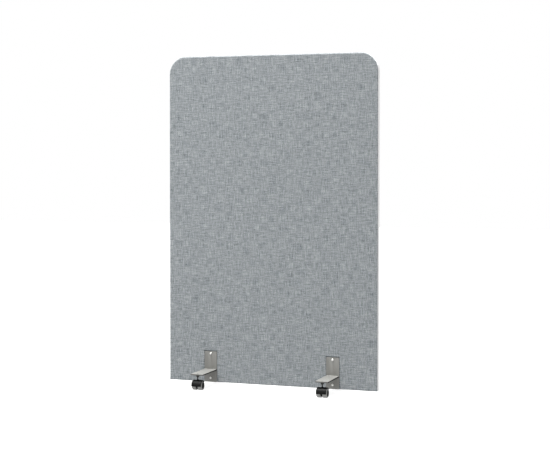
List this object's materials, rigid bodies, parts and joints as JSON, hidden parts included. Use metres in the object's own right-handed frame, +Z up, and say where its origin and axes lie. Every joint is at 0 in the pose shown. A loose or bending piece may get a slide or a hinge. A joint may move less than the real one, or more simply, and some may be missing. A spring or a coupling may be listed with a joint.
{
  "type": "mobile privacy screen",
  "caption": "Free-standing fabric-covered privacy screen with rounded top corners, a pale edge band and steel bracket feet on twin-wheel swivel casters.",
  "frame": {"origin": "on the floor, under the middle of the panel", "axes": "+X along the panel, to the right as seen from the front; the front face looks toward -Y; +Z up"},
  "size_m": [1, 0.387, 1.513],
  "materials": {
    "fabric": "mottled grey melange upholstery weave",
    "felt": "needled polyester felt",
    "infill": "compressed mineral fibre board",
    "frame_wood": "planed softwood",
    "edge_band": "satin off-white edging",
    "bracket_steel": "fine satin silver-grey powder coat",
    "zinc": "bright zinc plate",
    "stem_steel": "plain zinc-plated steel",
    "caster_plastic": "black moulded nylon",
    "tread": "soft grey tread"
  },
  "bodies": {
    "screen_frame": {"front_fabric_cover": "fabric", "rear_fabric_cover": "fabric", "front_felt_layer": "felt", "rear_felt_layer": "felt", "edge_band": "edge_band", "left_stile": "frame_wood", "right_stile": "frame_wood", "top_rail": "frame_wood", "bottom_rail": "frame_wood", "left_corner_block": "frame_wood", "right_corner_block": "frame_wood", "acoustic_infill": "infill", "front_left_back_plate": "bracket_steel", "front_left_foot_plate": "bracket_steel", "front_left_caster_stem": "stem_steel", "front_left_lock_nut": "stem_steel", "front_right_back_plate": "bracket_steel", "front_right_foot_plate": "bracket_steel", "front_right_caster_stem": "stem_steel", "front_right_lock_nut": "stem_steel", "rear_left_back_plate": "bracket_steel", "rear_left_foot_plate": "bracket_steel", "rear_left_caster_stem": "stem_steel", "rear_left_lock_nut": "stem_steel", "rear_right_back_plate": "bracket_steel", "rear_right_foot_plate": "bracket_steel", "rear_right_caster_stem": "stem_steel", "rear_right_lock_nut": "stem_steel", "left_lower_screw": "zinc", "left_lower_sleeve_nut": "zinc", "left_upper_screw": "zinc", "left_upper_sleeve_nut": "zinc", "right_lower_screw": "zinc", "right_lower_sleeve_nut": "zinc", "right_upper_screw": "zinc", "right_upper_sleeve_nut": "zinc"},
    "front_left_caster": {"front_left_caster_hood": "caster_plastic", "front_left_axle": "zinc"},
    "front_left_inner_wheel": {"front_left_inner_wheel_core": "caster_plastic", "front_left_inner_wheel_tread": "tread"},
    "front_left_outer_wheel": {"front_left_outer_wheel_core": "caster_plastic", "front_left_outer_wheel_tread": "tread"},
    "front_right_caster": {"front_right_caster_hood": "caster_plastic", "front_right_axle": "zinc"},
    "front_right_inner_wheel": {"front_right_inner_wheel_core": "caster_plastic", "front_right_inner_wheel_tread": "tread"},
    "front_right_outer_wheel": {"front_right_outer_wheel_core": "caster_plastic", "front_right_outer_wheel_tread": "tread"},
    "rear_left_caster": {"rear_left_caster_hood": "caster_plastic", "rear_left_axle": "zinc"},
    "rear_left_inner_wheel": {"rear_left_inner_wheel_core": "caster_plastic", "rear_left_inner_wheel_tread": "tread"},
    "rear_left_outer_wheel": {"rear_left_outer_wheel_core": "caster_plastic", "rear_left_outer_wheel_tread": "tread"},
    "rear_right_caster": {"rear_right_caster_hood": "caster_plastic", "rear_right_axle": "zinc"},
    "rear_right_inner_wheel": {"rear_right_inner_wheel_core": "caster_plastic", "rear_right_inner_wheel_tread": "tread"},
    "rear_right_outer_wheel": {"rear_right_outer_wheel_core": "caster_plastic", "rear_right_outer_wheel_tread": "tread"}
  },
  "joints": [
    {"name": "front_left_swivel", "type": "hinge", "parent": "screen_frame", "child": "front_left_caster", "pos_m": [-0.294, -0.171, 0.045], "axis": [0, 0, 1], "continuous": true},
    {"name": "front_left_inner_wheel_spin", "type": "hinge", "parent": "front_left_caster", "child": "front_left_inner_wheel", "pos_m": [-0.294, -0.168, 0.02], "axis": [1, 0, 0], "continuous": true},
    {"name": "front_left_outer_wheel_spin", "type": "hinge", "parent": "front_left_caster", "child": "front_left_outer_wheel", "pos_m": [-0.294, -0.168, 0.02], "axis": [1, 0, 0], "continuous": true},
    {"name": "front_right_swivel", "type": "hinge", "parent": "screen_frame", "child": "front_right_caster", "pos_m": [0.294, -0.171, 0.045], "axis": [0, 0, 1], "continuous": true},
    {"name": "front_right_inner_wheel_spin", "type": "hinge", "parent": "front_right_caster", "child": "front_right_inner_wheel", "pos_m": [0.294, -0.168, 0.02], "axis": [1, 0, 0], "continuous": true},
    {"name": "front_right_outer_wheel_spin", "type": "hinge", "parent": "front_right_caster", "child": "front_right_outer_wheel", "pos_m": [0.294, -0.168, 0.02], "axis": [1, 0, 0], "continuous": true},
    {"name": "rear_left_swivel", "type": "hinge", "parent": "screen_frame", "child": "rear_left_caster", "pos_m": [-0.294, 0.171, 0.045], "axis": [0, 0, 1], "continuous": true},
    {"name": "rear_left_inner_wheel_spin", "type": "hinge", "parent": "rear_left_caster", "child": "rear_left_inner_wheel", "pos_m": [-0.294, 0.168, 0.02], "axis": [1, 0, 0], "continuous": true},
    {"name": "rear_left_outer_wheel_spin", "type": "hinge", "parent": "rear_left_caster", "child": "rear_left_outer_wheel", "pos_m": [-0.294, 0.168, 0.02], "axis": [1, 0, 0], "continuous": true},
    {"name": "rear_right_swivel", "type": "hinge", "parent": "screen_frame", "child": "rear_right_caster", "pos_m": [0.294, 0.171, 0.045], "axis": [0, 0, 1], "continuous": true},
    {"name": "rear_right_inner_wheel_spin", "type": "hinge", "parent": "rear_right_caster", "child": "rear_right_inner_wheel", "pos_m": [0.294, 0.168, 0.02], "axis": [1, 0, 0], "continuous": true},
    {"name": "rear_right_outer_wheel_spin", "type": "hinge", "parent": "rear_right_caster", "child": "rear_right_outer_wheel", "pos_m": [0.294, 0.168, 0.02], "axis": [1, 0, 0], "continuous": true}
  ]
}
